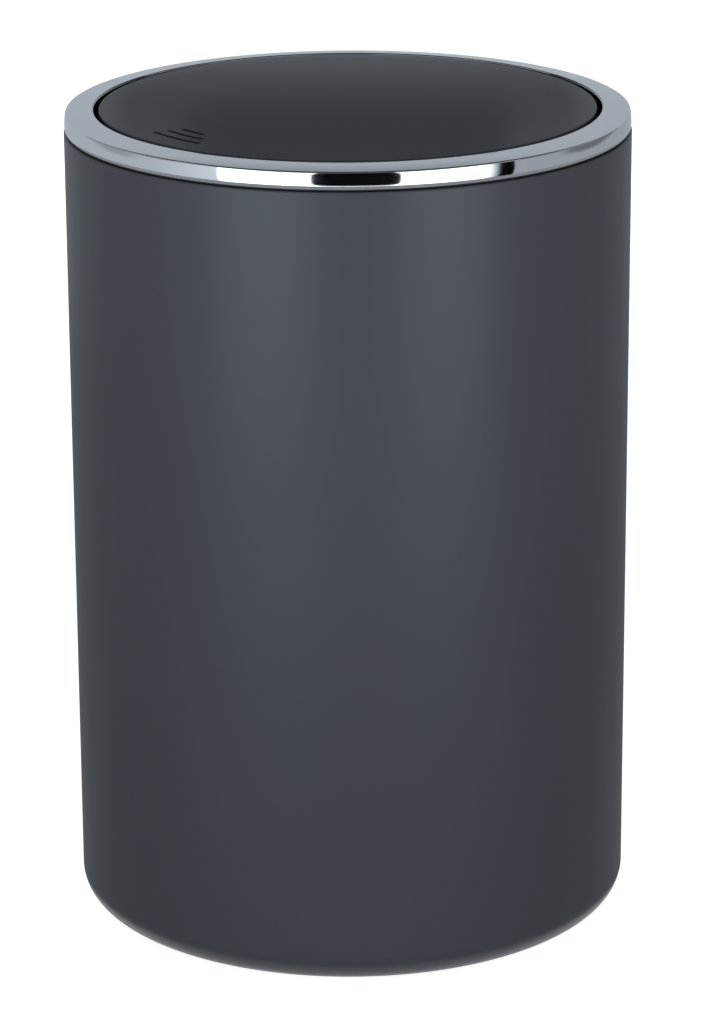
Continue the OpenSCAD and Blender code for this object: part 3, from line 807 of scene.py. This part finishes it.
@dataclass(frozen=True)
class Camera:
    """Where the photograph was taken from, found from the ellipses of its rim and foot.

    Attributes:
        azimuth: Direction of the camera from the bin, in degrees from the front to the right.
        distance: Distance from the bin's axis, in metres.
        height: Height above the worktop, in metres.
        pitch: How far the camera looks down, in degrees.
        roll: Turn about the line of sight, in degrees.
        yaw: How far the camera looks past the axis, to the right, in degrees.
        lens: Focal length in millimetres.
        sensor: Longer side of the sensor in millimetres.
    """

    azimuth: float = 49.0
    distance: float = 1.3062
    height: float = 0.5416
    pitch: float = 17.69
    roll: float = -0.34
    yaw: float = 0.025
    lens: float = 152.85
    sensor: float = 36.0

    def build(self) -> None:
        """Adds the camera and makes it the scene's."""
        deselect_all()
        turned = math.radians(self.azimuth)
        place = (self.distance * math.sin(turned), -self.distance * math.cos(turned), self.height)
        bpy.ops.object.camera_add(location=place)
        camera = bpy.context.object
        camera.rotation_euler = (Matrix.Rotation(turned - math.radians(self.yaw), 4, "Z")
                                 @ Matrix.Rotation(math.radians(90 - self.pitch), 4, "X")
                                 @ Matrix.Rotation(math.radians(self.roll), 4, "Z")).to_euler()
        camera.data.lens = self.lens
        camera.data.sensor_width = self.sensor
        bpy.context.scene.camera = camera


@dataclass(frozen=True)
class Card:
    """A curved studio card round the bin, which only bright surfaces mirror.

    Attributes:
        name: Name of the card.
        start: First edge, in degrees from the camera's direction, to the right.
        end: Last edge.
        foot: Height of its lower edge in metres.
        top: Height of its upper edge.
        first: Brightness at its first edge, 1 being white.
        last: Brightness at its last edge.
        radius: Distance of its lower edge from the axis in metres.
        lean: How much farther out its upper edge lies.
        steps: Number of faces along it.
    """

    name: str
    start: float
    end: float
    foot: float
    top: float
    first: float
    last: float
    radius: float = 0.8
    lean: float = 0.0
    steps: int = 48

    def build(self, camera_azimuth: float) -> None:
        """Models the card and gives it its glow.

        Args:
            camera_azimuth: Direction of the camera, in degrees.
        """
        deselect_all()
        bpy.ops.mesh.primitive_plane_add(size=MM, location=(0, -self.radius, self.foot))
        piece = bpy.context.object
        piece.name = self.name
        apply_place(piece)
        bpy.ops.object.mode_set(mode="EDIT")
        bpy.ops.mesh.merge(type="CENTER")
        rise = (0, -self.lean, self.top - self.foot)
        bpy.ops.mesh.extrude_region_move(TRANSFORM_OT_translate={"value": rise})
        sweep(math.radians(self.end - self.start), self.steps)
        bpy.ops.object.mode_set(mode="OBJECT")
        piece.matrix_world = Matrix.Rotation(math.radians(camera_azimuth + self.start), 4, "Z")
        apply_place(piece)
        piece.data.materials.append(self.material(camera_azimuth))
        mirror_only(piece)

    def material(self, camera_azimuth: float) -> bpy.types.Material:
        """Builds a glow that runs evenly from the card's first edge to its last.

        Args:
            camera_azimuth: Direction of the camera, in degrees.

        Returns:
            The material.
        """
        material = glow(self.name, DAYLIGHT)
        tree = material.node_tree
        level = add_node(tree, "ShaderNodeMapRange", {
            "Value": self.across(tree, camera_azimuth),
            "From Min": -self.half_span, "From Max": self.half_span,
            "To Min": self.first, "To Max": self.last})
        tree.links.new(level.outputs["Result"], tree.nodes["Emission"].inputs["Strength"])
        return material

    @property
    def half_span(self) -> float:
        """Half the card's length, as a share of a full turn."""
        return (self.end - self.start) / FULL_TURN / 2

    def across(self, tree: bpy.types.NodeTree, camera_azimuth: float) -> bpy.types.NodeSocket:
        """How far the shaded point lies from the card's middle.

        Args:
            tree: The node tree.
            camera_azimuth: Direction of the camera, in degrees.

        Returns:
            The socket that gives it, as a share of a full turn.
        """
        middle = math.radians(camera_azimuth + (self.start + self.end) / 2) - math.pi / 2
        place = add_node(tree, "ShaderNodeTexCoord").outputs["Object"]
        turned = add_node(tree, "ShaderNodeMapping", {"Vector": place, "Rotation": (0, 0, -middle)})
        along = add_node(tree, "ShaderNodeTexGradient", {"Vector": turned.outputs["Vector"]},
                         gradient_type="RADIAL")
        share = add_node(tree, "ShaderNodeMath", {0: along.outputs["Fac"], 1: 0.5}, operation="SUBTRACT")
        return share.outputs["Value"]


@dataclass(frozen=True)
class Patch(Card):
    """A patch with round corners that hangs in front of the cards and is clear outside its outline.

    Attributes:
        radius: Distance from the axis in metres, less than that of the cards.
        squareness: 2 for an oval, and more for a shape that is squarer.
        blur: Width of its soft edge, where 1 reaches to its middle.
    """

    radius: float = 0.79
    squareness: float = 4.0
    blur: float = 0.2

    def material(self, camera_azimuth: float) -> bpy.types.Material:
        """Builds a glow inside the outline and nothing outside it.

        Args:
            camera_azimuth: Direction of the camera, in degrees.

        Returns:
            The material.
        """
        material = glow(self.name, DAYLIGHT)
        tree = material.node_tree
        tree.nodes["Emission"].inputs["Strength"].default_value = self.first
        aside = self.off_middle(tree, self.across(tree, camera_azimuth), 0.0, self.half_span)
        above = self.off_middle(tree, height_in(tree), (self.foot + self.top) / 2, (self.top - self.foot) / 2)
        off = add_node(tree, "ShaderNodeMath", {0: aside, 1: above}, operation="ADD")
        outside = add_node(tree, "ShaderNodeMapRange", {
            "Value": off.outputs["Value"], "From Min": 1 - self.blur, "From Max": 1.0})
        clear = add_node(tree, "ShaderNodeBsdfTransparent")
        shape = add_node(tree, "ShaderNodeMixShader", {
            0: outside.outputs["Result"], 1: tree.nodes["Emission"].outputs["Emission"],
            2: clear.outputs["BSDF"]})
        tree.links.new(shape.outputs["Shader"], tree.nodes["Material Output"].inputs["Surface"])
        return material

    def off_middle(self, tree: bpy.types.NodeTree, value: bpy.types.NodeSocket, middle: float,
                   half: float) -> bpy.types.NodeSocket:
        """How far a value lies off the middle, raised to the power that makes the patch square.

        Args:
            tree: The node tree.
            value: The socket that gives the value.
            middle: The value at the patch's middle.
            half: How far the patch reaches to either side.

        Returns:
            The socket that gives it: 0 in the middle and 1 at the outline.
        """
        off = add_node(tree, "ShaderNodeMath", {0: value, 1: middle}, operation="SUBTRACT")
        size = add_node(tree, "ShaderNodeMath", {0: off.outputs["Value"]}, operation="ABSOLUTE")
        share = add_node(tree, "ShaderNodeMath", {0: size.outputs["Value"], 1: half}, operation="DIVIDE")
        power = add_node(tree, "ShaderNodeMath", {
            0: share.outputs["Value"], 1: self.squareness}, operation="POWER")
        return power.outputs["Value"]


@dataclass(frozen=True)
class Flag:
    """A flat card close behind the lid, where the satin flap mirrors it and the ring's top doesn't.

    Attributes:
        name: Name of the flag.
        out: Distance behind the axis, as the camera sees it, in metres.
        half_width: Half its width in metres.
        foot: Height of its lower edge in metres.
        top: Height of its upper edge.
        low: Brightness at its lower edge, 1 being white.
        high: Brightness at its upper edge.
    """

    name: str
    out: float
    half_width: float
    foot: float
    top: float
    low: float
    high: float

    def build(self, camera_azimuth: float) -> None:
        """Models the flag and gives it its glow.

        Args:
            camera_azimuth: Direction of the camera, in degrees.
        """
        deselect_all()
        turned = math.radians(camera_azimuth)
        place = (-self.out * math.sin(turned), self.out * math.cos(turned), (self.foot + self.top) / 2)
        bpy.ops.mesh.primitive_plane_add(size=1, location=place, rotation=(math.pi / 2, 0, turned))
        piece = bpy.context.object
        piece.name = self.name
        piece.scale = (2 * self.half_width, self.top - self.foot, 1)
        apply_place(piece)
        material = glow(self.name, DAYLIGHT)
        tree = material.node_tree
        level = by_height(tree, (self.foot, self.top), (self.low, self.high))
        tree.links.new(level, tree.nodes["Emission"].inputs["Strength"])
        piece.data.materials.append(material)
        mirror_only(piece)


def by_height(tree: bpy.types.NodeTree, heights: tuple[float, float],
              levels: tuple[float, float]) -> bpy.types.NodeSocket:
    """A value that runs from one level to the other between two heights.

    Args:
        tree: The node tree.
        heights: The two heights in metres.
        levels: The level at and below the first height, and at and above the second.

    Returns:
        The socket that gives the value.
    """
    level = add_node(tree, "ShaderNodeMapRange", {
        "Value": height_in(tree), "From Min": heights[0], "From Max": heights[1],
        "To Min": levels[0], "To Max": levels[1]})
    return level.outputs["Result"]


def height_in(tree: bpy.types.NodeTree) -> bpy.types.NodeSocket:
    """The height, in metres, of the point that is shaded."""
    place = add_node(tree, "ShaderNodeTexCoord").outputs["Object"]
    return add_node(tree, "ShaderNodeSeparateXYZ", {"Vector": place}).outputs["Z"]


def glow(name: str, colour: str) -> bpy.types.Material:
    """Builds a plain glowing material, as bright as white.

    Args:
        name: Name of the material.
        colour: sRGB colour of the glow.

    Returns:
        The material.
    """
    material = bpy.data.materials.new(name)
    material.use_nodes = True
    tree = material.node_tree
    tree.nodes.clear()
    light = add_node(tree, "ShaderNodeEmission", {"Color": linear(colour), "Strength": 1.0})
    add_node(tree, "ShaderNodeOutputMaterial", {"Surface": light.outputs["Emission"]})
    return material


def mirror_only(piece: bpy.types.Object) -> None:
    """Lets a stage piece show in reflections and nowhere else.

    Args:
        piece: The stage piece.
    """
    piece.visible_camera = False
    piece.visible_diffuse = False
    piece.visible_transmission = False
    piece.visible_volume_scatter = False
    piece.visible_shadow = False


@dataclass(frozen=True)
class Lamp:
    """A soft round lamp, which lights and doesn't show in mirrors.

    Attributes:
        name: Name of the lamp.
        turn: Direction from the camera's, in degrees to the right.
        out: Distance from the axis in metres.
        height: Height in metres.
        across: Diameter in metres.
        watts: Its power.
        aim: Height on the axis that it points at.
    """

    name: str
    turn: float
    out: float
    height: float
    across: float
    watts: float
    aim: float

    def build(self, camera_azimuth: float) -> None:
        """Adds the lamp.

        Args:
            camera_azimuth: Direction of the camera, in degrees.
        """
        deselect_all()
        turned = math.radians(camera_azimuth + self.turn)
        place = Vector((self.out * math.sin(turned), -self.out * math.cos(turned), self.height))
        bpy.ops.object.light_add(type="AREA", location=place)
        lamp = bpy.context.object
        lamp.name = self.name
        lamp.rotation_euler = (place - Vector((0, 0, self.aim))).to_track_quat("Z", "Y").to_euler()
        lamp.data.shape = "DISK"
        lamp.data.size = self.across
        lamp.data.energy = self.watts
        lamp.visible_glossy = False
        lamp.visible_camera = False


@dataclass
class Studio:
    """Floor, silk tent, cards, lamps and world round the bin.

    Attributes:
        camera: The camera.
        tent_radius: Radius of the tent in metres.
        tent_low: Brightness of the tent's side.
        tent_high: Brightness of its top.
        tent_turn: Heights between which one turns into the other, as shares of the radius.
        tent_sides: How much brighter the tent is at the left, and at the right, of the camera.
        world_level: Brightness of the light from all sides.
        floor_colour: Colour of the floor.
        floor_lift: Light added where the camera, a mirror or glass sees the floor, which keeps it white.
        floor_half: Half the floor's width in metres.
        lamps: The lamps.
        cards: The cards, and the cloth on the floor, that the chrome and the body mirror.
        flags: The flags that the flap mirrors.
    """

    camera: Camera = Camera()
    tent_radius: float = 2.6
    tent_low: float = 0.53
    tent_high: float = 0.05
    tent_turn: tuple[float, float] = (0.48, 0.75)
    tent_sides: tuple[float, float] = (1.1, 0.9)
    world_level: float = 0.27
    floor_colour: str = "#bfc6cc"
    floor_lift: float = 0.9
    floor_half: float = 3.0
    lamps: tuple[Lamp, ...] = (
        Lamp("soft_box_left", -25, 0.75, 0.47, 0.5, 2.2, 0.14),
        Lamp("soft_box_right", 25, 0.75, 0.47, 0.5, 2.1, 0.14),
        Lamp("soft_box_back", 180, 1.1, 0.35, 0.5, 2.2, 0.12),
    )
    cards: tuple[Card, ...] = (
        Card("card_grey_left", -175, -80, 0.0, 0.34, 0.51, 0.61),
        Card("card_fade_left", -80, -50, 0.0, 0.34, 0.61, 0.88),
        Card("card_white", -50, 53, 0.0, 0.34, 3.3, 3.3),
        Patch("patch_black_middle", -14.4, 20.2, 0.041, 0.369, 0.0, 0.0),
        Card("card_black_top", -12, 17.6, 0.34, 0.6, 0.0, 0.0),
        Card("card_black_floor", -14, 19.6, 0.001, 0.002, 0.0, 0.0, radius=0.66, lean=0.14),
        Card("cloth_grey_floor", -180, 180, 0.0004, 0.0008, 0.33, 0.33, radius=0.09, lean=0.9),
        Card("card_fade_right", 53, 59.5, 0.0, 0.34, 2.2, 0.0),
        Card("card_black_right", 59.5, 65.7, 0.0, 0.34, 0.0, 0.0),
        Card("card_grey_right", 65.7, 146, 0.0, 0.34, 0.47, 0.44),
        Card("card_light_right", 146, 178, 0.0, 0.34, 0.44, 0.57),
        Patch("patch_lens_left", -121, -85, 0.15, 0.30, 0.4, 0.4, squareness=2.0, blur=0.8),
        Patch("patch_lens_right", 88, 132, 0.14, 0.30, 0.2, 0.2, squareness=2.0, blur=0.6),
        Card("card_edge_left", -127, -70, 0.34, 0.52, 0.05, 0.05),
        Card("card_edge_right", 70, 136, 0.34, 0.52, 0.05, 0.05),
    )
    flags: tuple[Flag, ...] = (
        Flag("flag_foot", 0.092, 0.076, 0.2563, 0.262, 0.55, 0.55),
        Flag("flag_fade", 0.092, 0.076, 0.262, 0.29, 0.55, 0.0),
        Flag("flag_dark", 0.092, 0.053, 0.29, 0.312, 0.0, 0.0),
    )

    def build(self) -> None:
        """Sets the studio up."""
        self.camera.build()
        self.world()
        self.floor()
        self.tent()
        for piece in (*self.cards, *self.flags, *self.lamps):
            piece.build(self.camera.azimuth)
        bpy.context.scene.view_settings.view_transform = "Standard"

    def world(self) -> None:
        """A soft even light, with a white backdrop to the camera and in mirrors and glass."""
        world = bpy.data.worlds.new("studio")
        world.use_nodes = True
        tree = world.node_tree
        tree.nodes.clear()
        level = add_node(tree, "ShaderNodeMapRange", {
            "Value": seen_or_mirrored(tree), "To Min": self.world_level, "To Max": 1.0})
        light = add_node(tree, "ShaderNodeBackground", {
            "Color": (1, 1, 1, 1), "Strength": level.outputs["Result"]})
        add_node(tree, "ShaderNodeOutputWorld", {"Surface": light.outputs["Background"]})
        bpy.context.scene.world = world

    def floor(self) -> None:
        """A pale worktop that keeps the bin's soft shadow."""
        deselect_all()
        bpy.ops.mesh.primitive_plane_add(size=2 * self.floor_half, location=(0, 0, 0))
        piece = bpy.context.object
        piece.name = "floor"
        material = bpy.data.materials.new("pale_floor")
        material.use_nodes = True
        tree = material.node_tree
        shader = tree.nodes["Principled BSDF"]
        shader.inputs["Base Color"].default_value = linear(self.floor_colour)
        shader.inputs["Roughness"].default_value = 0.8
        shader.inputs["Specular IOR Level"].default_value = 0.1
        shader.inputs["Emission Color"].default_value = (1, 1, 1, 1)
        lift = add_node(tree, "ShaderNodeMath", {
            0: seen_or_mirrored(tree), 1: self.floor_lift}, operation="MULTIPLY")
        tree.links.new(lift.outputs["Value"], shader.inputs["Emission Strength"])
        piece.data.materials.append(material)

    def tent(self) -> None:
        """A silk tent over the set, which the chrome mirrors: grey at its sides and dark on top."""
        deselect_all()
        bpy.ops.mesh.primitive_uv_sphere_add(segments=48, ring_count=24, radius=self.tent_radius)
        piece = bpy.context.object
        piece.name = "silk_tent"
        bpy.ops.object.mode_set(mode="EDIT")
        bpy.ops.mesh.select_all(action="SELECT")
        bpy.ops.mesh.bisect(plane_co=(0, 0, -0.05), plane_no=(0, 0, 1), clear_inner=True)
        bpy.ops.object.mode_set(mode="OBJECT")
        material = glow("silk_tent", DAYLIGHT)
        tree = material.node_tree
        place = add_node(tree, "ShaderNodeTexCoord").outputs["Object"]
        starts, ends = (share * self.tent_radius for share in self.tent_turn)
        level = by_height(tree, (starts, ends), (self.tent_low, self.tent_high))
        turned = math.radians(self.camera.azimuth)
        aside = add_node(tree, "ShaderNodeVectorMath", {
            0: place, 1: (math.cos(turned), math.sin(turned), 0)}, operation="DOT_PRODUCT")
        side = add_node(tree, "ShaderNodeMapRange", {
            "Value": aside.outputs["Value"], "From Min": -self.tent_radius, "From Max": self.tent_radius,
            "To Min": self.tent_sides[0], "To Max": self.tent_sides[1]})
        both = add_node(tree, "ShaderNodeMath", {
            0: level, 1: side.outputs["Result"]}, operation="MULTIPLY")
        tree.links.new(both.outputs["Value"], tree.nodes["Emission"].inputs["Strength"])
        piece.data.materials.append(material)
        mirror_only(piece)


def seen_or_mirrored(tree: bpy.types.NodeTree) -> bpy.types.NodeSocket:
    """Tells rays that show a thing from rays that only light by it.

    Args:
        tree: The node tree.

    Returns:
        The socket that gives 1 for a ray from the camera, a mirror or glass, and 0 for any other.
    """
    path = add_node(tree, "ShaderNodeLightPath")
    first = add_node(tree, "ShaderNodeMath", {
        0: path.outputs["Is Camera Ray"], 1: path.outputs["Is Glossy Ray"]}, operation="MAXIMUM")
    both = add_node(tree, "ShaderNodeMath", {
        0: first.outputs["Value"], 1: path.outputs["Is Transmission Ray"]}, operation="MAXIMUM")
    return both.outputs["Value"]


def main() -> None:
    """Builds the bin's looks and its studio."""
    logging.basicConfig(level=logging.INFO, format="%(name)s: %(message)s")
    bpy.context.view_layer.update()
    for part in (Bucket(), Rim(), Flap(), Studio()):
        part.build()


if __name__ == "__main__":
    main()
